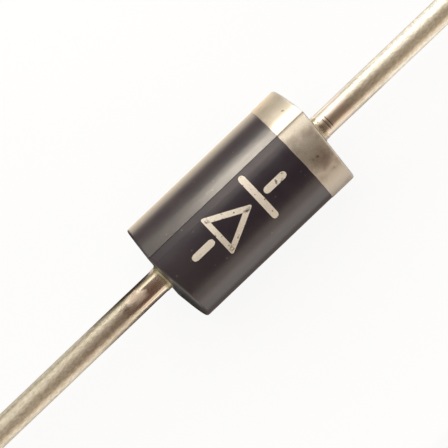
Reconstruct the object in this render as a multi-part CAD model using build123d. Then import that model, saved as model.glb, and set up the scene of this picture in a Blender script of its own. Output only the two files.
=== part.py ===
from build123d import *
import os
from math import cos, hypot, radians, sin, tan

# Axial rectifier diode: a silicon die soldered between two nail-head leads and moulded in epoxy.
# X runs along the leads with the cathode at +X, and Z is up as the diode lies on a table.
# The origin is the middle of the moulded case. Sizes are in millimetres, angles in degrees.

# Moulded case, made in two mould halves that meet at a seam along the leads
body_length = 9.5        # measured along the seam, where the case is longest
body_diameter = 5.24     # round part of the section
side_draft = 8.0         # the flats on both sides of the seam lean this much
end_draft = 5.5          # each half of an end face leans in from the seam
rim_radius = 0.12        # rounding of the two end rims
seam_step = 0.03         # sideways mismatch of the two mould halves
seam_turn = 25.0         # lean of the seam from the top as the diode lies

# Resin that climbs each lead where it leaves the case
collar_radius = 0.16     # hollow rounding between end face and lead
film_thickness = 0.02    # thin resin skin on the lead
film_length = 0.25       # how far that skin runs out from the seam's end

# Cathode band, a film of silver ink round one end of the case
band_width = 1.58        # from the seam's end to the inner edge of the band
ink_thickness = 0.03

# Leads, drawn copper wire with an upset head, dipped in solder up to a setback from the case
wire_diameter = 1.18
lead_length = 25.4       # from the seam's end to the cut tip
dip_thickness = 0.01
dip_setback = 1.35
dip_taper = 0.65
tip_chamfer = 0.1
head_diameter = 2.8
head_thickness = 0.6
head_edge = 0.1          # bevel round the rim of the head
neck_taper = 0.3         # cone from the head down to the wire

# Die, the solder discs on its two faces and the silicone coating round its edges
die_side = 2.1
die_thickness = 0.26
solder_inset = 0.05      # the discs stay this far inside the edges of the die
solder_thickness = 0.06
coat_cover = 0.25        # coating outside the corners of the die and the heads
coat_lap = 0.35          # how far the coating laps over the rim of each head

# Values worked out from those sizes
body_radius = body_diameter / 2
wire_radius = wire_diameter / 2
dip_radius = wire_radius + dip_thickness
head_radius = head_diameter / 2
body_end = body_length / 2
lead_tip = body_end + lead_length
die_face = die_thickness / 2
head_front = die_face + solder_thickness
head_back = head_front + head_thickness


def mould_half(radius, length, rim):
    """The half above the seam plane Z = 0: a round section, flats by the seam, ends that lean in."""
    flat_y = radius * cos(radians(side_draft))
    flat_z = radius * sin(radians(side_draft))
    seam_y = radius / cos(radians(side_draft))
    trim_height = body_diameter
    trim_lean = trim_height * tan(radians(end_draft))
    with BuildPart() as half:
        with BuildSketch(Plane.YZ):
            with BuildLine():
                Polyline((-flat_y, flat_z), (-seam_y, 0), (seam_y, 0), (flat_y, flat_z))
                ThreePointArc((flat_y, flat_z), (0, radius), (-flat_y, flat_z))
            make_face()
        extrude(amount=length / 2, both=True)
        with BuildSketch(Plane.XZ):
            with BuildLine():
                Polyline(
                    (-length / 2, 0),
                    (length / 2, 0),
                    (length / 2 - trim_lean, trim_height),
                    (-length / 2 + trim_lean, trim_height),
                    close=True,
                )
            make_face()
        extrude(amount=body_diameter, both=True, mode=Mode.INTERSECT)
        if rim:
            ends = half.faces().sort_by(Axis.X)
            rims = ends[0].edges().sort_by(Axis.Z)[1:] + ends[-1].edges().sort_by(Axis.Z)[1:]
            fillet(rims, rim)
    return half.part


def moulded(radius, length, rim=0, step=0):
    """Both mould halves joined at the seam, turned to the lean that the seam has at rest."""
    upper = Pos(Y=-step / 2) * mould_half(radius, length, rim)
    lower = Rot(X=180) * upper
    return Rot(X=90 - seam_turn) * (upper + lower)


def resin_collar():
    """The resin at the cathode end: a hollow fillet on the end face and a thin skin on the lead."""
    skin_radius = wire_radius + film_thickness
    foot_radius = skin_radius + collar_radius
    foot_x = body_end - foot_radius * tan(radians(end_draft))
    with BuildPart() as collar:
        with BuildSketch(Plane.XY):
            with BuildLine():
                CenterArc((foot_x + collar_radius, foot_radius), collar_radius, 180, 90)
                Polyline(
                    (foot_x + collar_radius, skin_radius),
                    (body_end + film_length, skin_radius),
                    (body_end + film_length, 0),
                    (foot_x - collar_radius, 0),
                    (foot_x - collar_radius, foot_radius),
                    (foot_x, foot_radius),
                )
            make_face()
        revolve(axis=Axis.X)
    return collar.part


def lead():
    """The cathode lead: a wire with an upset nail head, a solder-dipped length and a cut tip."""
    dip_start = body_end + dip_setback
    with BuildPart() as wire:
        with BuildSketch(Plane.XY) as profile:
            with BuildLine():
                Polyline(
                    (head_front, 0),
                    (head_front, head_radius),
                    (head_back, head_radius),
                    (head_back, wire_radius),
                    (dip_start, wire_radius),
                    (dip_start + dip_taper, dip_radius),
                    (lead_tip, dip_radius),
                    (lead_tip, 0),
                    close=True,
                )
            make_face()
            corners = profile.vertices()
            head_rim = corners.group_by(Axis.Y)[-1]
            neck = corners.group_by(Axis.X)[1].sort_by(Axis.Y)[0]
            tip_edge = corners.group_by(Axis.X)[-1].sort_by(Axis.Y)[-1]
            chamfer(head_rim, head_edge)
            chamfer(neck, neck_taper)
            chamfer(tip_edge, tip_chamfer)
        revolve(axis=Axis.X)
    return wire.part


def solder_disc():
    """The solder between the die and the head of the cathode lead."""
    disc = Cylinder(die_side / 2 - solder_inset, solder_thickness)
    return Pos(X=die_face + solder_thickness / 2) * Rot(Y=90) * disc


def coating_bead():
    """The bead of silicone with nothing cut from it: it bulges past the die and the two heads."""
    bulge_radius = max(head_radius, hypot(die_side, die_side) / 2) + coat_cover
    lap_end = head_front + coat_lap
    with BuildPart() as bead:
        with BuildSketch(Plane.XY):
            with BuildLine():
                ThreePointArc((-lap_end, head_radius), (0, bulge_radius), (lap_end, head_radius))
                Polyline(
                    (lap_end, head_radius),
                    (lap_end, 0),
                    (-lap_end, 0),
                    (-lap_end, head_radius),
                )
            make_face()
        revolve(axis=Axis.X)
    return bead.part


# Die, solder and leads, stacked along X
silicon_die = Box(die_thickness, die_side, die_side)
cathode_solder = solder_disc()
anode_solder = mirror(cathode_solder, about=Plane.YZ)
cathode_lead = lead()
anode_lead = mirror(cathode_lead, about=Plane.YZ)

# Silicone coating, laid round the stack before the case is moulded
stack = silicon_die + cathode_solder + anode_solder + cathode_lead + anode_lead
junction_coating = coating_bead() - stack

# Case, moulded round the coated stack, with resin drawn out along both leads
case_blank = moulded(body_radius, body_length, rim_radius, seam_step)
cathode_collar = resin_collar()
anode_collar = mirror(cathode_collar, about=Plane.YZ)
epoxy_body = case_blank + cathode_collar + anode_collar - stack - junction_coating

# Ink band, a shell over the case that ends where the rim starts to round
ink_shell = moulded(body_radius + ink_thickness, body_length - 2 * rim_radius)
band_zone = Pos(X=body_end - band_width) * Box(
    body_length,
    2 * body_diameter,
    2 * body_diameter,
    align=(Align.MIN, Align.CENTER, Align.CENTER),
)
cathode_band = (ink_shell & band_zone) - case_blank

pieces = {
    "epoxy_body": epoxy_body,
    "cathode_band": cathode_band,
    "anode_lead": anode_lead,
    "cathode_lead": cathode_lead,
    "silicon_die": silicon_die,
    "anode_solder": anode_solder,
    "cathode_solder": cathode_solder,
    "junction_coating": junction_coating,
}

os.makedirs("parts", exist_ok=True)
for name, piece in pieces.items():
    piece.label = name
    export_step(piece, f"parts/{name}.step")
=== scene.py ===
from math import atan2, copysign, cos, pi, radians, sin, sqrt, tan

import bmesh
import bpy
from mathutils import Matrix, Vector, noise


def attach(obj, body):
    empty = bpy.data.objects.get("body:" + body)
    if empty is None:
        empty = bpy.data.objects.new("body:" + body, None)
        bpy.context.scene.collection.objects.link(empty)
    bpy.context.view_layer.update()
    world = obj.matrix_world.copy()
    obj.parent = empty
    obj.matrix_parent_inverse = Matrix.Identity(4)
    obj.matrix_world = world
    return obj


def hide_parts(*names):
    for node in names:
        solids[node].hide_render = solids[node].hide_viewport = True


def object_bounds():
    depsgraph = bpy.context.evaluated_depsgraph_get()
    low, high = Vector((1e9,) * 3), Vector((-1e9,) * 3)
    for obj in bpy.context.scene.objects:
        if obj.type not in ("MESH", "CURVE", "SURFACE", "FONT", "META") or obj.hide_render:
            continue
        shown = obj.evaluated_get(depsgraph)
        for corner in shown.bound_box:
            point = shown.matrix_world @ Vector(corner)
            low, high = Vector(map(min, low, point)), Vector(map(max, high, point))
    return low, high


# Axial rectifier diode, lying on its side with the cathode band towards +X.
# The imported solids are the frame; places below are in millimetres until a mesh is finished.
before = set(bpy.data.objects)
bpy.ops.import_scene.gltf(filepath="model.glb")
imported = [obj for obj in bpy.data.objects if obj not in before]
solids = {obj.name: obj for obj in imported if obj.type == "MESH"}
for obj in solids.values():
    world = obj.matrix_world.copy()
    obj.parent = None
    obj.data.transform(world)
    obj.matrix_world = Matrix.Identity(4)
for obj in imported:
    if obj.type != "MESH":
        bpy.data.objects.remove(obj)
cad_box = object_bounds()


# Die, solder and silicone bead: the stack inside the case, hidden once the case is moulded.
# The die is sawn silicon, the discs are reflowed solder and the bead is cured silicone.
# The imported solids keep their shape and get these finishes.
def lay(tree, kind, inputs=None, **settings):
    """One node of a finish: an input is another node's output or a plain value."""
    node = tree.nodes.new(kind)
    for setting, value in settings.items():
        setattr(node, setting, value)
    for socket, value in (inputs or {}).items():
        if isinstance(value, bpy.types.NodeSocket):
            tree.links.new(value, node.inputs[socket])
        else:
            node.inputs[socket].default_value = value
    return node


def start_finish(name, **constants):
    """A new finish: its material, its node tree, its shader and the place on the part in millimetres."""
    material = bpy.data.materials.new(name)
    material.use_nodes = True
    tree = material.node_tree
    shader = tree.nodes["Principled BSDF"]
    for socket, value in constants.items():
        shader.inputs[socket.replace("_", " ")].default_value = value
    place = lay(tree, "ShaderNodeTexCoord").outputs["Object"]
    millimetres = lay(tree, "ShaderNodeVectorMath", {0: place, "Scale": 1000.0}, operation="SCALE")
    return material, tree, shader, millimetres.outputs[0]


def grade(tree, value, low, high, to_low=0.0, to_high=1.0):
    """A smooth step of a value, from to_low at low to to_high at high."""
    inputs = {"Value": value, "From Min": low, "From Max": high, "To Min": to_low, "To Max": to_high}
    return lay(tree, "ShaderNodeMapRange", inputs, interpolation_type="SMOOTHSTEP").outputs[0]


def tint(tree, share, first, second):
    """The first colour where share is 0 and the second where it is 1."""
    return lay(tree, "ShaderNodeMix", {0: share, 6: first, 7: second}, data_type="RGBA").outputs[2]


def grain(tree, place, per_mm, detail=3.0, stretch=(1, 1, 1), lift=0.5):
    """Soft random grain with so many lumps to a millimetre, stretched along the axes."""
    stretched = lay(tree, "ShaderNodeVectorMath", {0: place, 1: stretch}, operation="MULTIPLY")
    inputs = {"Vector": stretched.outputs[0], "Scale": per_mm, "Detail": detail, "Roughness": lift}
    return lay(tree, "ShaderNodeTexNoise", inputs).outputs[0]


def plain_finish(name, dark, light, per_mm, **constants):
    """A finish for a hidden piece: two close colours in a fine grain, with a slight bump."""
    material, tree, shader, place = start_finish(name, **constants)
    lumps = grain(tree, place, per_mm)
    tree.links.new(tint(tree, grade(tree, lumps, 0.3, 0.7), dark, light), shader.inputs["Base Color"])
    bump = lay(tree, "ShaderNodeBump", {"Height": lumps, "Strength": 0.2, "Distance": 0.00002})
    tree.links.new(bump.outputs[0], shader.inputs["Normal"])
    return material


silicon = plain_finish(
    "sawn_silicon", (0.16, 0.16, 0.19, 1), (0.24, 0.24, 0.28, 1), 6.0, Roughness=0.25, Metallic=0.3)
solder = plain_finish(
    "reflowed_solder", (0.45, 0.45, 0.46, 1), (0.62, 0.62, 0.63, 1), 9.0, Roughness=0.38, Metallic=1.0)
silicone = plain_finish(
    "cured_silicone", (0.64, 0.62, 0.57, 1), (0.74, 0.72, 0.68, 1), 3.0, Roughness=0.55)
inner_finishes = {
    "silicon_die": silicon,
    "anode_solder": solder,
    "cathode_solder": solder,
    "junction_coating": silicone,
}
for inner_piece, inner_finish in inner_finishes.items():
    solids[inner_piece].material_slots[0].material = inner_finish


# Leads: drawn copper wire with an upset nail head inside the case, tinned all along.
# Outside the case the root is bare bright wire, then a solder dip starts in a wavy edge.
# The feed jaws leave a few short nicks across the top of the cathode root.
case_end = 4.75
wire_radius = 0.59
dip_radius = 0.60
dip_start = 6.1
dip_full = 6.75
lead_tip = 30.15
tip_chamfer = 0.1
lead_steps = 72
head_outline = (
    (0.19, 0.0), (0.19, 1.3), (0.29, 1.4), (0.69, 1.4), (0.79, 1.3), (0.79, 0.89), (1.09, wire_radius))
wire_stations = (
    (case_end, 6), (5.08, 4), (5.50, 44), (dip_start, 8), (dip_full, 14), (lead_tip - tip_chamfer, 150))
nick_places = (5.21, 5.36)
frost_turn = radians(20)
nick_turn = radians(6)
nick_depth = 0.018
nick_half_width = 0.034


def step_up(value, low, high):
    """A smooth step from 0 at low to 1 at high."""
    share = min(max((value - low) / (high - low), 0.0), 1.0)
    return share * share * (3 - 2 * share)


def dress_wire(place, nicks):
    """Where a point of the plain wire ends up: the dip's wavy edge, its uneven tin and the nicks."""
    x, y, z = place
    radius = sqrt(y * y + z * z)
    if x < case_end or x > lead_tip - 0.5 * tip_chamfer or radius < 0.5 * wire_radius:
        return place
    round_wire = Vector((0, y, z)) / radius
    edge = x + 0.28 * noise.noise(round_wire * 1.7 + Vector((nicks, 0, 3)))
    dipped = step_up(edge, dip_start, dip_full)
    lumps = noise.noise(Vector((0.45 * x, 1.4 * y, 1.4 * z)))
    new_radius = wire_radius + (dip_radius - wire_radius) * dipped * (0.72 + 0.28 * lumps)
    if nicks:
        top = step_up(cos(atan2(-y, z) - nick_turn), cos(radians(42)), cos(radians(18)))
        for nick in nick_places:
            new_radius -= nick_depth * top * step_up(nick_half_width - abs(x - nick), 0, nick_half_width)
    return Vector((x, 0, 0)) + round_wire * min(new_radius, radius + 0.001)


def turn_lead(name, side):
    """One lead spun from half its outline; side is 1 for the cathode and -1 for the anode."""
    bm = bmesh.new()
    chain = [bm.verts.new((x, 0, r)) for x, r in head_outline]
    for x, _ in wire_stations:
        chain.append(bm.verts.new((x, 0, dip_radius if x > dip_start else wire_radius)))
    chain.append(bm.verts.new((lead_tip, 0, dip_radius - tip_chamfer)))
    chain.append(bm.verts.new((lead_tip, 0, 0)))
    edges = [bm.edges.new(pair) for pair in zip(chain, chain[1:])]
    first_wire_edge = len(head_outline) - 1
    for edge, (_, cuts) in zip(edges[first_wire_edge:], wire_stations):
        bmesh.ops.subdivide_edges(bm, edges=[edge], cuts=cuts)
    outline = bm.verts[:] + bm.edges[:]
    bmesh.ops.spin(
        bm, geom=outline, cent=(0, 0, 0), axis=(1, 0, 0), angle=2 * pi, steps=lead_steps, use_merge=True)
    bmesh.ops.remove_doubles(bm, verts=bm.verts[:], dist=0.0005)
    for vert in bm.verts:
        vert.co = dress_wire(vert.co.copy(), side > 0)
    return close_piece(bm, name, Matrix.Diagonal((0.001 * side, 0.001, 0.001, 1)))


def close_piece(bm, name, to_metres):
    """The finished mesh in metres: faces outwards, smooth where it is round, in the scene."""
    bmesh.ops.transform(bm, matrix=to_metres, verts=bm.verts[:])
    bmesh.ops.recalc_face_normals(bm, faces=bm.faces[:])
    for face in bm.faces:
        face.smooth = True
    mesh = bpy.data.meshes.new(name)
    bm.to_mesh(mesh)
    bm.free()
    mesh.set_sharp_from_angle(angle=radians(38))
    piece = bpy.data.objects.new(name, mesh)
    bpy.context.scene.collection.objects.link(piece)
    return piece


def tinned_finish():
    """Bright bare root, a dull band at the dip's edge, then warm solder with drawn streaks."""
    material, tree, shader, place = start_finish(
        "tinned_copper", Metallic=1.0, Specular_Tint=(0.35, 0.32, 0.28, 1))
    along = lay(tree, "ShaderNodeSeparateXYZ", {0: place}).outputs[0]
    reach = lay(tree, "ShaderNodeMath", {0: along}, operation="ABSOLUTE").outputs[0]
    waver = grain(tree, place, 1.6, 2.0, (0.6, 1, 1))
    edge = lay(tree, "ShaderNodeMath", {0: waver, 1: 0.9, 2: reach}, operation="MULTIPLY_ADD").outputs[0]
    dipped = grade(tree, edge, 6.3, 6.9)
    collar = lay(
        tree, "ShaderNodeMath",
        {0: grade(tree, edge, 6.2, 6.5), 1: grade(tree, edge, 6.6, 7.3, 1.0, 0.0)},
        operation="MULTIPLY").outputs[0]
    streaks = grain(tree, place, 9.0, 4.0, (0.09, 1, 1), 0.6)
    lumps = grain(tree, place, 9.0, 4.0, (0.5, 1, 1), 0.65)
    bright = tint(tree, grade(tree, streaks, 0.35, 0.65), (0.82, 0.73, 0.62, 1), (0.92, 0.85, 0.76, 1))
    dull = tint(tree, grade(tree, lumps, 0.32, 0.68), (0.65, 0.595, 0.49, 1), (0.89, 0.84, 0.74, 1))
    tinned = tint(tree, dipped, bright, dull)
    blotched = tint(tree, grade(tree, collar, 0.0, 1.0, 0.0, 0.7), tinned, (0.88, 0.76, 0.68, 1))
    past_nicks = [
        lay(tree, "ShaderNodeMath", {0: along, 1: nick}, operation="SUBTRACT").outputs[0] for nick in nick_places]
    from_first, from_second = (
        lay(tree, "ShaderNodeMath", {0: past}, operation="ABSOLUTE").outputs[0] for past in past_nicks)
    from_nick = lay(tree, "ShaderNodeMath", {0: from_first, 1: from_second}, operation="MINIMUM").outputs[0]
    facing = (0, -sin(nick_turn), cos(nick_turn))
    height = lay(
        tree, "ShaderNodeVectorMath", {0: place, 1: facing}, operation="DOT_PRODUCT").outputs["Value"]
    # Painted shade: besides their shallow grooves, the nicks are darkened to a dark brown in colour.
    nick_shade = lay(
        tree, "ShaderNodeMath",
        {0: grade(tree, from_nick, 0.3 * nick_half_width, nick_half_width, 0.8, 0.0),
         1: grade(tree, height, 0.80 * wire_radius, 0.94 * wire_radius)},
        operation="MULTIPLY").outputs[0]
    tree.links.new(tint(tree, nick_shade, blotched, (0.20, 0.10, 0.07, 1)), shader.inputs["Base Color"])
    bare = grade(tree, along, -1.0, 1.0, 0.17, 0.31)
    tin = grade(tree, along, -1.0, 1.0, 0.40, 0.33)
    polish = lay(
        tree, "ShaderNodeMix",
        {0: grade(tree, edge, 6.4, 8.4), 2: bare, 3: tin}, data_type="FLOAT").outputs[0]
    lit_side = (0, sin(frost_turn), cos(frost_turn))
    upward = lay(
        tree, "ShaderNodeVectorMath", {0: place, 1: lit_side}, operation="DOT_PRODUCT").outputs["Value"]
    patch = lay(
        tree, "ShaderNodeMath",
        {0: collar, 1: grade(tree, upward, 0.78 * wire_radius, 0.93 * wire_radius)},
        operation="MULTIPLY").outputs[0]
    frost = grade(tree, along, -1.0, 1.0, 0.5, 0.0)
    blotch = lay(tree, "ShaderNodeMath", {0: patch, 1: frost, 2: polish}, operation="MULTIPLY_ADD").outputs[0]
    centred = lay(tree, "ShaderNodeMath", {0: lumps, 1: 0.5}, operation="SUBTRACT").outputs[0]
    calm = grade(tree, along, -1.0, 1.0, 1.0, 0.3)
    sided = lay(tree, "ShaderNodeMath", {0: centred, 1: calm}, operation="MULTIPLY").outputs[0]
    frosted = lay(
        tree, "ShaderNodeMath",
        {0: sided, 1: grade(tree, edge, 6.2, 7.6, 0.1, 1.0)}, operation="MULTIPLY").outputs[0]
    uneven = lay(
        tree, "ShaderNodeMath", {0: frosted, 1: 0.12, 2: blotch}, operation="MULTIPLY_ADD").outputs[0]
    tree.links.new(uneven, shader.inputs["Roughness"])
    drawn = lay(tree, "ShaderNodeBump", {"Height": streaks, "Strength": 0.10, "Distance": 0.00002})
    lumpy = lay(
        tree, "ShaderNodeBump",
        {"Height": frosted, "Strength": 0.4, "Distance": 0.00003, "Normal": drawn.outputs[0]})
    tree.links.new(lumpy.outputs[0], shader.inputs["Normal"])
    return material


tinned_copper = tinned_finish()
for lead_name, lead_side in (("cathode_lead", 1), ("anode_lead", -1)):
    lead = turn_lead(lead_name + "_wire", lead_side)
    lead.data.materials.append(tinned_copper)
    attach(lead, "root")
    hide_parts(lead_name)


# Case: black epoxy moulded in two halves, with a parting seam along it and round its end faces.
# Resin creeps a little way out along both leads as a thin olive skin.
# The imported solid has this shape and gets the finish.
seam_lean = radians(25)
end_draft = radians(5.5)


def seam_group():
    """Mask of a fine line along the parting seam, for a place in millimetres."""
    tree = bpy.data.node_groups.new("parting_seam", "ShaderNodeTree")
    tree.interface.new_socket("Position", in_out="INPUT", socket_type="NodeSocketVector")
    tree.interface.new_socket("Half Width", in_out="INPUT", socket_type="NodeSocketFloat")
    tree.interface.new_socket("Shift", in_out="INPUT", socket_type="NodeSocketFloat")
    tree.interface.new_socket("Mask", in_out="OUTPUT", socket_type="NodeSocketFloat")
    given = lay(tree, "NodeGroupInput").outputs
    across = (0, -cos(seam_lean), sin(seam_lean))
    off = lay(tree, "ShaderNodeVectorMath", {0: given["Position"], 1: across}, operation="DOT_PRODUCT")
    moved = lay(tree, "ShaderNodeMath", {0: off.outputs["Value"], 1: given["Shift"]}, operation="SUBTRACT")
    distance = lay(tree, "ShaderNodeMath", {0: moved.outputs[0]}, operation="ABSOLUTE").outputs[0]
    share = lay(tree, "ShaderNodeMath", {0: distance, 1: given["Half Width"]}, operation="DIVIDE").outputs[0]
    lay(tree, "NodeGroupOutput", {"Mask": grade(tree, share, 0.4, 1.0, 1.0, 0.0)})
    return tree


def speck_group():
    """Mask of small scattered specks, for a place in millimetres."""
    tree = bpy.data.node_groups.new("scattered_specks", "ShaderNodeTree")
    tree.interface.new_socket("Position", in_out="INPUT", socket_type="NodeSocketVector")
    tree.interface.new_socket("Cells per mm", in_out="INPUT", socket_type="NodeSocketFloat")
    tree.interface.new_socket("Size", in_out="INPUT", socket_type="NodeSocketFloat")
    tree.interface.new_socket("Kept", in_out="INPUT", socket_type="NodeSocketFloat")
    tree.interface.new_socket("Mask", in_out="OUTPUT", socket_type="NodeSocketFloat")
    given = lay(tree, "NodeGroupInput").outputs
    cells = lay(tree, "ShaderNodeTexVoronoi", {"Vector": given["Position"], "Scale": given["Cells per mm"]})
    lot = lay(tree, "ShaderNodeSeparateColor", {0: cells.outputs["Color"]}).outputs[0]
    chosen = lay(tree, "ShaderNodeMath", {0: lot, 1: given["Kept"]}, operation="LESS_THAN").outputs[0]
    share = lay(tree, "ShaderNodeMath", {0: cells.outputs["Distance"], 1: given["Size"]}, operation="DIVIDE")
    spot = grade(tree, share.outputs[0], 0.5, 1.0, 1.0, 0.0)
    lay(tree, "NodeGroupOutput", {
        "Mask": lay(tree, "ShaderNodeMath", {0: chosen, 1: spot}, operation="MULTIPLY").outputs[0]})
    return tree


parting_seam = seam_group()
scattered_specks = speck_group()


def place_group(tree, group, inputs):
    """A group placed in a finish with its own values; gives its first output."""
    placed = tree.nodes.new("ShaderNodeGroup")
    placed.node_tree = group
    for socket, value in inputs.items():
        if isinstance(value, bpy.types.NodeSocket):
            tree.links.new(value, placed.inputs[socket])
        else:
            placed.inputs[socket].default_value = value
    return placed.outputs[0]


def epoxy_finish():
    """Semi-gloss black resin with a faint purple cast, fine pits, painted shade beside the seam step and on the
    end faces, and olive skins.
    """
    material, tree, shader, place = start_finish("moulded_epoxy", IOR=1.75)
    clouds = grain(tree, place, 0.9, 3.0)
    fine = grain(tree, place, 14.0, 3.0)
    resin = tint(tree, grade(tree, clouds, 0.3, 0.7), (0.028, 0.020, 0.032, 1), (0.037, 0.029, 0.038, 1))
    dust = place_group(
        tree, scattered_specks, {"Position": place, "Cells per mm": 3.2, "Size": 0.16, "Kept": 0.22})
    dusty = tint(tree, dust, resin, (0.11, 0.10, 0.09, 1))
    # Painted shade: a thin darker line on one side of the parting seam, beside the mould step.
    seam = place_group(tree, parting_seam, {"Position": place, "Half Width": 0.03, "Shift": 0.03})
    seam_shaded = tint(tree, grade(tree, seam, 0.0, 1.0, 0.0, 0.4), dusty, (0.012, 0.009, 0.010, 1))
    spokes = lay(tree, "ShaderNodeVectorMath", {0: place, 1: (0, 1, 1)}, operation="MULTIPLY").outputs[0]
    from_axis = lay(tree, "ShaderNodeVectorMath", {0: spokes}, operation="LENGTH").outputs["Value"]
    along = lay(tree, "ShaderNodeSeparateXYZ", {0: place}).outputs[0]
    reach = lay(tree, "ShaderNodeMath", {0: along}, operation="ABSOLUTE").outputs[0]
    skin = grade(tree, from_axis, 0.615, 0.70, 1.0, 0.0)
    waver = lay(
        tree, "ShaderNodeMath", {0: grain(tree, place, 3.0), 1: 0.2, 2: reach}, operation="MULTIPLY_ADD")
    thinning = grade(tree, waver.outputs[0], 4.93, 5.12)
    olive = tint(tree, fine, (0.40, 0.36, 0.21, 1), (0.52, 0.48, 0.33, 1))
    clear = tint(tree, grade(tree, along, -1.0, 1.0, 0.0, 0.75), olive, (0.72, 0.62, 0.48, 1))
    film = tint(tree, thinning, clear, (0.82, 0.72, 0.61, 1))
    wire_shine = grade(tree, thinning, 0.0, 1.0, 0.6, 1.0)
    shine = lay(tree, "ShaderNodeMath", {0: skin, 1: wire_shine}, operation="MULTIPLY").outputs[0]
    tree.links.new(shine, shader.inputs["Metallic"])
    across = lay(
        tree, "ShaderNodeVectorMath",
        {0: place, 1: (0, -cos(seam_lean), sin(seam_lean))}, operation="DOT_PRODUCT")
    lean = lay(tree, "ShaderNodeMath", {0: across.outputs["Value"]}, operation="ABSOLUTE").outputs[0]
    from_middle = lay(
        tree, "ShaderNodeMath", {0: lean, 1: tan(end_draft), 2: reach}, operation="MULTIPLY_ADD")
    end_face = grade(tree, from_middle.outputs[0], case_end - 0.06, case_end - 0.01)
    # Painted shade: the end faces get a darker colour than the rest of the resin; their roughness below is their
    # own finish.
    shaded_end = tint(tree, end_face, seam_shaded, (0.013, 0.010, 0.013, 1))
    tree.links.new(tint(tree, skin, shaded_end, film), shader.inputs["Base Color"])
    dull_end = lay(tree, "ShaderNodeMix", {0: end_face, 2: 0.25, 3: 0.32}, data_type="FLOAT").outputs[0]
    smooth_skin = lay(tree, "ShaderNodeMix", {0: skin, 2: dull_end, 3: 0.22}, data_type="FLOAT").outputs[0]
    matt = lay(
        tree, "ShaderNodeMath", {0: fine, 1: 0.10, 2: smooth_skin}, operation="MULTIPLY_ADD").outputs[0]
    tree.links.new(matt, shader.inputs["Roughness"])
    pits = lay(tree, "ShaderNodeBump", {"Height": fine, "Strength": 0.12, "Distance": 0.00002})
    tree.links.new(pits.outputs[0], shader.inputs["Normal"])
    return material


solids["epoxy_body"].material_slots[0].material = epoxy_finish()


# Cathode band: a film of silver ink rolled round the end of the case and over its rim.
# The ink is satin and a little soiled, with dark specks, and along the seam step it is darkened in patches as
# painted shade.
# The film starts as a tube of rings and is laid on the case, so it follows the flats and the mould step.
case_radius = 2.62
side_draft = radians(8)
mould_step = 0.03
rim_radius = 0.12
band_edge = 3.17
band_steps = 240
side_stations = 12
rim_turns = (0, 10, 20, 30, 40, 48)
ink_low = -0.004
band_ink = 0.018
stain_middle = (3.95, -1.10, 2.38)


def grain_colour(tree, place, per_mm):
    """Soft grain as three small random shifts, to make an edge ragged."""
    noisy = lay(tree, "ShaderNodeTexNoise", {"Vector": place, "Scale": per_mm, "Detail": 3.0})
    return lay(
        tree, "ShaderNodeVectorMath", {0: noisy.outputs["Color"], "Scale": 0.3}, operation="SCALE").outputs[0]


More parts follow.
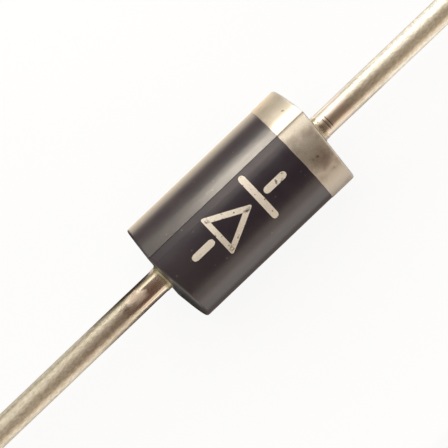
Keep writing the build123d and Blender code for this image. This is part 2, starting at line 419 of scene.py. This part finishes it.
def ink_finish(name, flank_shade_share, soil_share, stain_share, worn_share, metal, satin):
    """Satin silver ink: pale flake in a warm binder, with painted shade on the lower flanks, soil, specks and a
    patchy line of painted shade along the seam step.
    """
    material, tree, shader, place = start_finish(name, IOR=1.5)
    clouds = grain(tree, place, 1.1, 4.0)
    flake = grain(tree, place, 22.0, 3.0)
    silver = tint(tree, grade(tree, flake, 0.3, 0.7), (0.80, 0.745, 0.655, 1), (0.91, 0.86, 0.78, 1))
    parts = lay(tree, "ShaderNodeSeparateXYZ", {0: place}).outputs
    # Painted shade: the ink is darkened below about 2 mm height, a little more on the +Y side.
    flank_shade = lay(
        tree, "ShaderNodeMath",
        {0: grade(tree, parts[2], 2.0, 2.25, 1.0, 0.0),
         1: grade(tree, parts[1], -1.0, 1.0, 0.82 * flank_shade_share, 1.12 * flank_shade_share)},
        operation="MULTIPLY").outputs[0]
    flank_shaded = tint(tree, flank_shade, silver, (0.32, 0.28, 0.235, 1))
    soil = grade(tree, clouds, 0.48, 0.72, 0.0, soil_share)
    soiled = tint(tree, soil, flank_shaded, (0.30, 0.22, 0.17, 1))
    from_stain = lay(
        tree, "ShaderNodeVectorMath", {0: place, 1: stain_middle}, operation="DISTANCE").outputs["Value"]
    patchy = lay(
        tree, "ShaderNodeMath",
        {0: grain(tree, place, 2.6, 4.0), 1: 0.9, 2: from_stain}, operation="MULTIPLY_ADD")
    stain = grade(tree, patchy.outputs[0], 0.55, 1.30, stain_share, 0.0)
    stained = tint(tree, stain, soiled, (0.24, 0.15, 0.12, 1))
    ragged = lay(
        tree, "ShaderNodeVectorMath", {0: grain_colour(tree, place, 5.0), 1: place}, operation="ADD").outputs[0]
    specks = place_group(
        tree, scattered_specks, {"Position": ragged, "Cells per mm": 1.7, "Size": 0.16, "Kept": 0.26})
    spots = place_group(
        tree, scattered_specks, {"Position": ragged, "Cells per mm": 3.4, "Size": 0.30, "Kept": 0.7})
    in_stain = grade(tree, stain, 0.1, 0.5)
    spotted = lay(tree, "ShaderNodeMath", {0: spots, 1: in_stain}, operation="MULTIPLY").outputs[0]
    soot = lay(tree, "ShaderNodeMath", {0: specks, 1: spotted}, operation="MAXIMUM").outputs[0]
    specked = tint(tree, grade(tree, soot, 0.0, 1.0, 0.0, 0.75), stained, (0.12, 0.09, 0.07, 1))
    # Painted shade: a patchy dark line beside the mould step, where the ink's colour drops near black and its
    # metal goes; the worn patches are real wear.
    seam = place_group(tree, parting_seam, {"Position": place, "Half Width": 0.024, "Shift": 0.024})
    bare = lay(
        tree, "ShaderNodeMath",
        {0: seam, 1: grade(tree, grain(tree, place, 3.0, 3.0), 0.30, 0.50, 0.0, 0.7)},
        operation="MULTIPLY").outputs[0]
    thin = grade(tree, grain(tree, place, 6.0, 4.0), 0.60, 0.70, 0.0, worn_share)
    gaps_and_seam_shade = lay(tree, "ShaderNodeMath", {0: bare, 1: thin}, operation="MAXIMUM").outputs[0]
    tree.links.new(tint(tree, gaps_and_seam_shade, specked, (0.035, 0.027, 0.027, 1)), shader.inputs["Base Color"])
    tree.links.new(grade(tree, gaps_and_seam_shade, 0.0, 1.0, metal, 0.0), shader.inputs["Metallic"])
    sheen = lay(
        tree, "ShaderNodeMath", {0: flake, 1: 0.10, 2: satin - 0.05}, operation="MULTIPLY_ADD").outputs[0]
    tree.links.new(sheen, shader.inputs["Roughness"])
    bump = lay(tree, "ShaderNodeBump", {"Height": flake, "Strength": 0.10, "Distance": 0.00002})
    tree.links.new(bump.outputs[0], shader.inputs["Normal"])
    return material


def case_surface(turn):
    """Radius of the case at an angle from its top towards -Y, and the angle that its surface faces."""
    from_seam = (turn + seam_lean + pi / 2) % pi - pi / 2
    if abs(from_seam) > side_draft:
        return case_radius, turn
    facing = turn - from_seam + copysign(side_draft, from_seam)
    return case_radius / cos(side_draft - abs(from_seam)), facing


def on_case(turn):
    """The point of the case's round at an angle from its top, with the step between the mould halves."""
    radius, facing = case_surface(turn)
    right_half = sin(turn + seam_lean) > 0
    slide = Vector((0, sin(seam_lean), cos(seam_lean))) * (-mould_step / 2 if right_half else mould_step / 2)
    spoke = Vector((0, -sin(turn), cos(turn)))
    return spoke * radius + slide, Vector((0, -sin(facing), cos(facing)))


def lay_band(ring, turn, height):
    """Where a point of the tube lies on the case: along the side first, then round the rim."""
    from_seam = (turn + seam_lean + pi / 2) % pi - pi / 2
    if abs(from_seam) < 1.2 * pi / band_steps:
        turn += copysign(radians(0.15), from_seam) - from_seam
    foot, outward = on_case(turn)
    off_seam = abs(foot.y * -cos(seam_lean) + foot.z * sin(seam_lean))
    rim_start = case_end - off_seam * tan(end_draft) - rim_radius
    if ring < side_stations:
        edge = band_edge + 0.02 * noise.noise(foot * 2.1)
        share = ring / side_stations
        return Vector((edge + (rim_start - edge) * share, 0, 0)) + foot + outward * height
    rim_turn = radians(rim_turns[ring - side_stations])
    faces = outward * cos(rim_turn) + Vector((sin(rim_turn), 0, 0))
    return Vector((rim_start, 0, 0)) + foot - outward * rim_radius + faces * (rim_radius + height)


def band_film():
    """The tube of rings along X, given its thickness and laid on the case ring by ring."""
    bm = bmesh.new()
    bmesh.ops.create_circle(
        bm, segments=band_steps, radius=1.0,
        matrix=Matrix.Rotation(seam_lean + pi / band_steps, 4, "X") @ Matrix.Rotation(pi / 2, 4, "Y"))
    ring = bm.edges[:]
    for _ in range(side_stations + len(rim_turns) - 1):
        made = bmesh.ops.extrude_edge_only(bm, edges=ring)["geom"]
        ring = [item for item in made if isinstance(item, bmesh.types.BMEdge)
                and all(vert in made for vert in item.verts)]
        bmesh.ops.translate(
            bm, vec=(1, 0, 0), verts=[item for item in made if isinstance(item, bmesh.types.BMVert)])
    film = bmesh.ops.extrude_face_region(bm, geom=bm.faces[:])
    raised = {item for item in film["geom"] if isinstance(item, bmesh.types.BMVert)}
    for vert in bm.verts:
        height = band_ink if vert in raised else ink_low
        vert.co = lay_band(round(vert.co.x), atan2(-vert.co.y, vert.co.z), height)
    return close_piece(bm, "cathode_band_film", Matrix.Scale(0.001, 4))


band = band_film()
band.data.materials.append(ink_finish("silver_ink_band", 0.64, 0.4, 0.66, 0.0, 1.0, 0.54))
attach(band, "root")
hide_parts("cathode_band")


# Polarity mark: the plain diode sign, stamped on the case in the same silver ink.
# A short line, an open triangle, a bar and a line, with small gaps where the stamp is bridged.
# Each stroke is a thin film of ink on the round of the case.
stroke_width = 0.34
ink_high = 0.014
mark_middle = Vector((-0.75, 0.30, 0))
triangle_back = -1.15
triangle_tip = 1.05
triangle_half = 1.12
bar_place = 1.45
line_gap = 0.16
line_length = 0.95


def lay_stroke(bm, start, end):
    """A flat stroke with round ends, cut fine enough to bend round the case."""
    run = end - start
    reach = run.length / 2 + stroke_width / 2
    made = bmesh.ops.create_grid(bm, x_segments=24, y_segments=8, size=1.0)["verts"]
    half = stroke_width / 2
    for vert in made:
        across = vert.co.y * half
        round_end = half - sqrt(max(half * half - across * across, 0.0))
        vert.co = Vector((vert.co.x * (reach - round_end), across, 0))
    turn = Matrix.Rotation(atan2(run.y, run.x), 4, "Z")
    bmesh.ops.transform(bm, matrix=Matrix.Translation((start + end) / 2) @ turn, verts=made)


def lay_triangle(bm):
    """The open triangle: a rounded outline inset by one stroke, with its middle taken out."""
    corners = [
        bm.verts.new((triangle_back, -triangle_half, 0)),
        bm.verts.new((triangle_tip, 0, 0)),
        bm.verts.new((triangle_back, triangle_half, 0)),
    ]
    bm.faces.new(corners)
    bmesh.ops.bevel(
        bm, geom=corners, offset=0.16, segments=4, profile=0.5, affect="VERTICES", material=-1)
    middle = max((f for f in bm.faces if len(f.verts) > 4), key=lambda f: f.calc_area())
    bmesh.ops.inset_individual(bm, faces=[middle], thickness=0.8 * stroke_width)
    bmesh.ops.delete(bm, geom=[middle], context="FACES")


def polarity_mark():
    """The whole sign, bent round the case and given the thickness of the ink."""
    bm = bmesh.new()
    lay_triangle(bm)
    back = triangle_back - line_gap - stroke_width / 2
    front = bar_place + line_gap + stroke_width
    lay_stroke(bm, Vector((bar_place, -triangle_half, 0)), Vector((bar_place, triangle_half, 0)))
    lay_stroke(bm, Vector((back - line_length, 0, 0)), Vector((back, 0, 0)))
    lay_stroke(bm, Vector((front, 0, 0)), Vector((front + line_length, 0, 0)))
    for step in range(-12, 13):
        geom = bm.verts[:] + bm.edges[:] + bm.faces[:]
        bmesh.ops.bisect_plane(bm, geom=geom, dist=0.0001, plane_co=(0, 0.1 * step, 0), plane_no=(0, 1, 0))
    film = bmesh.ops.extrude_face_region(bm, geom=bm.faces[:])
    raised = {item for item in film["geom"] if isinstance(item, bmesh.types.BMVert)}
    for vert in bm.verts:
        flat = vert.co + mark_middle
        turn = flat.y / case_radius
        foot, outward = on_case(turn)
        vert.co = Vector((flat.x, 0, 0)) + foot + outward * (ink_high if vert in raised else ink_low)
    return close_piece(bm, "polarity_mark", Matrix.Scale(0.001, 4))


mark = polarity_mark()
mark.data.materials.append(ink_finish("silver_ink_mark", 0.0, 0.15, 0.0, 0.8, 0.2, 0.55))
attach(mark, "root")


# Stage: a white paper floor under the case, low light strips on the seam side and low panels opposite.
# Cards and dark flags that only reflections show shape the highlights on the case and the leads; the bright cards
# glow as painted reflections of lit paper.
# The camera looks almost straight down through a long lens, from a little towards the anode.
floor_level = cad_box[0].z
floor_mesh = bmesh.new()
bmesh.ops.create_grid(floor_mesh, x_segments=8, y_segments=8, size=3.0)
bmesh.ops.translate(floor_mesh, vec=(0, 0, floor_level), verts=floor_mesh.verts[:])
paper_mesh = bpy.data.meshes.new("paper_floor")
floor_mesh.to_mesh(paper_mesh)
floor_mesh.free()
paper_floor = bpy.data.objects.new("paper_floor", paper_mesh)
bpy.context.scene.collection.objects.link(paper_floor)

paper = bpy.data.materials.new("white_paper")
paper.use_nodes = True
paper_tree = paper.node_tree
paper_tree.nodes.clear()
matt_paper = lay(paper_tree, "ShaderNodeBsdfDiffuse", {"Color": (0.88, 0.88, 0.87, 1)})
white = lay(paper_tree, "ShaderNodeEmission", {"Color": (1, 1, 1, 1), "Strength": 1.0})
rays = lay(paper_tree, "ShaderNodeLightPath").outputs
seen = lay(paper_tree, "ShaderNodeMath", {0: rays["Is Camera Ray"], 1: 0.90}, operation="MULTIPLY").outputs[0]
mirrored = lay(
    paper_tree, "ShaderNodeMath",
    {0: rays["Is Glossy Ray"], 1: 0.46, 2: seen}, operation="MULTIPLY_ADD").outputs[0]
shown = lay(
    paper_tree, "ShaderNodeMath", {0: mirrored, 1: rays["Is Transmission Ray"]}, operation="ADD").outputs[0]
mixed = lay(paper_tree, "ShaderNodeMixShader", {0: shown, 1: matt_paper.outputs[0], 2: white.outputs[0]})
lay(paper_tree, "ShaderNodeOutputMaterial", {"Surface": mixed.outputs[0]})
paper_mesh.materials.append(paper)

world = bpy.data.worlds.new("room")
bpy.context.scene.world = world
world.use_nodes = True
room = world.node_tree
room.nodes.clear()
sky = lay(room, "ShaderNodeTexCoord").outputs["Generated"]
heading = lay(room, "ShaderNodeSeparateXYZ", {0: sky}).outputs
seam_side = grade(room, heading[1], -0.12, 0.75)
low_room = grade(room, heading[2], 0.05, 0.42, 1.0, 0.0)
upper_room = tint(room, seam_side, (0.43, 0.36, 0.28, 1), (0.88, 0.83, 0.76, 1))
horizon = tint(room, seam_side, (0.12, 0.11, 0.10, 1), (0.52, 0.50, 0.40, 1))
room_colour = tint(room, low_room, upper_room, horizon)
straight = lay(room, "ShaderNodeLightPath").outputs["Is Camera Ray"]
seen_room = tint(room, straight, room_colour, (0.95, 0.95, 0.95, 1))
room_light = lay(room, "ShaderNodeBackground", {"Color": seen_room, "Strength": 1.0})
lay(room, "ShaderNodeOutputWorld", {"Surface": room_light.outputs[0]})


def soft_panel(name, middle, faces, width, height, radiance, colour):
    """A soft light panel along the leads that faces a point; the places are in millimetres."""
    lamp = bpy.data.lights.new(name, "AREA")
    lamp.shape = "RECTANGLE"
    lamp.size = width * 0.001
    lamp.size_y = height * 0.001
    lamp.energy = radiance * pi * lamp.size * lamp.size_y
    lamp.color = colour
    panel = bpy.data.objects.new(name, lamp)
    along = Vector((1, 0, 0))
    away = (Vector(middle) - Vector(faces)).normalized()
    turned = Matrix((along, away.cross(along), away)).transposed().to_4x4()
    panel.matrix_world = Matrix.Translation(Vector(middle) * 0.001) @ turned
    panel.visible_camera = False
    bpy.context.scene.collection.objects.link(panel)
    return panel


strip_distance = 22.0


def side_strip(name, from_x, to_x, low, high, radiance, colour):
    """A panel on the seam side, between two places along X and two heights in degrees."""
    middle_turn = radians((low + high) / 2)
    height = 2 * strip_distance * tan(radians(high - low) / 2)
    middle_x = (from_x + to_x) / 2
    middle = (middle_x, strip_distance * cos(middle_turn), strip_distance * sin(middle_turn))
    return soft_panel(name, middle, (middle_x, 0, 0), to_x - from_x, height, radiance, colour)


side_strip("anode_strip", -30, -5.5, 12, 32, 0.42, (1.0, 0.95, 0.74))
side_strip("case_strip", -5.5, -1, 12, 32, 0.44, (1.0, 0.95, 0.42))
side_strip("high_anode_strip", -30, -9, 48, 70, 0.3, (1.0, 0.95, 0.80))
side_strip("band_strip", 0, 5, 24, 31, 29.0, (1.0, 0.91, 0.76))
side_strip("high_band_strip", 0, 5, 55, 65, 2.8, (1.0, 0.88, 0.76))
lead_strips = (
    side_strip("root_strip", 5, 12, 1, 9, 2.2, (1.0, 1.0, 0.96)),
    side_strip("lead_strip", 12, 30, 5, 26, 6.5, (1.0, 1.0, 0.95)),
    side_strip("high_lead_strip", 12, 30, 40, 56, 1.1, (1.0, 1.0, 1.0)))
# The strips past the band light only the cathode lead and the band
lit_by_lead_strips = bpy.data.collections.new("lit_by_lead_strips")
lit_by_lead_strips.objects.link(bpy.data.objects["cathode_lead_wire"])
lit_by_lead_strips.objects.link(band)
for strip in lead_strips:
    strip.light_linking.receiver_collection = lit_by_lead_strips
soft_panel("low_side_card", (0, -14, 2.3), (0, 0, 2.3), 90, 9.4, 0.66, (1.0, 0.84, 0.68))
soft_panel("low_case_card", (0, -14, 2.3), (0, 0, 2.3), 12, 9.4, 0.30, (1.0, 0.56, 0.24))
soft_panel("low_lead_card", (25, -14, 2.3), (25, 0, 2.3), 40, 9.4, 0.42, (1.0, 0.98, 0.94))

overhead_fill = soft_panel("overhead_fill", (0, 200, 260), (0, 0, 0), 300, 300, 1.4, (0.97, 0.98, 1.0))
overhead_fill.visible_glossy = False


def glossy_card(name, low, high, level, colour):
    """A level card that only reflections show, between two corners in millimetres."""
    bm = bmesh.new()
    bmesh.ops.create_grid(bm, x_segments=1, y_segments=1, size=0.5)
    size = Vector(high) - Vector(low)
    middle = (Vector(high) + Vector(low)) / 2
    bmesh.ops.scale(bm, vec=(size.x * 0.001, size.y * 0.001, 1), verts=bm.verts[:])
    bmesh.ops.translate(bm, vec=(middle.x * 0.001, middle.y * 0.001, level), verts=bm.verts[:])
    mesh = bpy.data.meshes.new(name)
    bm.to_mesh(mesh)
    bm.free()
    card = bpy.data.objects.new(name, mesh)
    bpy.context.scene.collection.objects.link(card)
    card.visible_camera = False
    card.visible_diffuse = False
    card.visible_shadow = False
    card.visible_transmission = False
    finish = bpy.data.materials.new(name)
    finish.use_nodes = True
    finish.node_tree.nodes.clear()
    glow = lay(finish.node_tree, "ShaderNodeEmission", {"Color": colour, "Strength": 1.0})
    lay(finish.node_tree, "ShaderNodeOutputMaterial", {"Surface": glow.outputs[0]})
    mesh.materials.append(finish)


just_above_paper = floor_level + 0.00005
flag_level = 0.012
glossy_card("grey_card", (-100, 8), (9, 208), just_above_paper, (0.27, 0.22, 0.16, 1))
glossy_card("white_card", (-4.6, 2.4), (4.8, 7.2), just_above_paper, (2.4, 2.05, 1.55, 1))
# Painted shadow: the shade, end, root and lead cards darken the paper in reflections where the case and the lead
# roots shade it.
glossy_card("shade_card", (-4.9, -6.5), (5, -1.2), just_above_paper, (0.20, 0.17, 0.14, 1))
glossy_card("end_shadow_card", (-6.4, -3.2), (-4.9, 1.2), just_above_paper, (0.03, 0.025, 0.03, 1))
glossy_card("root_shadow_card", (-8.5, 1.2), (-5, 8), just_above_paper, (0.05, 0.045, 0.04, 1))
glossy_card("black_flag", (-2.9, -22), (5, 4.8), flag_level, (0.02, 0.016, 0.014, 1))
glossy_card("anode_flag", (-10, -22), (-4.2, 18), flag_level, (0.12, 0.065, 0.048, 1))
glossy_card("cathode_flag", (5, -22), (7.8, 8.5), flag_level, (0.15, 0.085, 0.05, 1))
glossy_card("root_shade", (-8.5, -18), (-4.9, -3.2), just_above_paper, (0.22, 0.19, 0.15, 1))
glossy_card("lead_shade", (-8.5, -3.2), (-6.4, -1.2), just_above_paper, (0.30, 0.27, 0.22, 1))
glossy_card("anode_paper", (-30, -9), (-9, 8), just_above_paper, (0.98, 0.97, 0.90, 1))
glossy_card("root_paper", (5.2, 0.8), (8.5, 8), just_above_paper, (1.4, 1.4, 1.35, 1))
glossy_card("cathode_paper", (8.5, -9), (30, 8), just_above_paper, (1.4, 1.4, 1.35, 1))

photo_side = 448
pixels_per_mm = 22.43
camera_distance = 450.0
camera_tilt = radians(1.75)
camera_lean = radians(1.6)
looks_at = Vector((-1.159, -0.156, 0))
picture_up = Vector((0.6895, 0.7243, 0))
camera = bpy.data.cameras.new("photo_camera")
camera.sensor_width = 36.0
camera.lens = camera.sensor_width * pixels_per_mm * camera_distance / photo_side
camera.clip_start = 0.01
camera.clip_end = 20.0
towards_camera = Vector((-sin(camera_tilt), sin(camera_lean), cos(camera_tilt))).normalized()
picture_right = picture_up.cross(towards_camera).normalized()
picture_up = towards_camera.cross(picture_right)
stand = bpy.data.objects.new("photo_camera", camera)
stand.matrix_world = Matrix.Translation((looks_at + towards_camera * camera_distance) * 0.001) @ Matrix(
    (picture_right, picture_up, towards_camera)).transposed().to_4x4()
bpy.context.scene.collection.objects.link(stand)
bpy.context.scene.camera = stand
bpy.context.scene.view_settings.view_transform = "Standard"
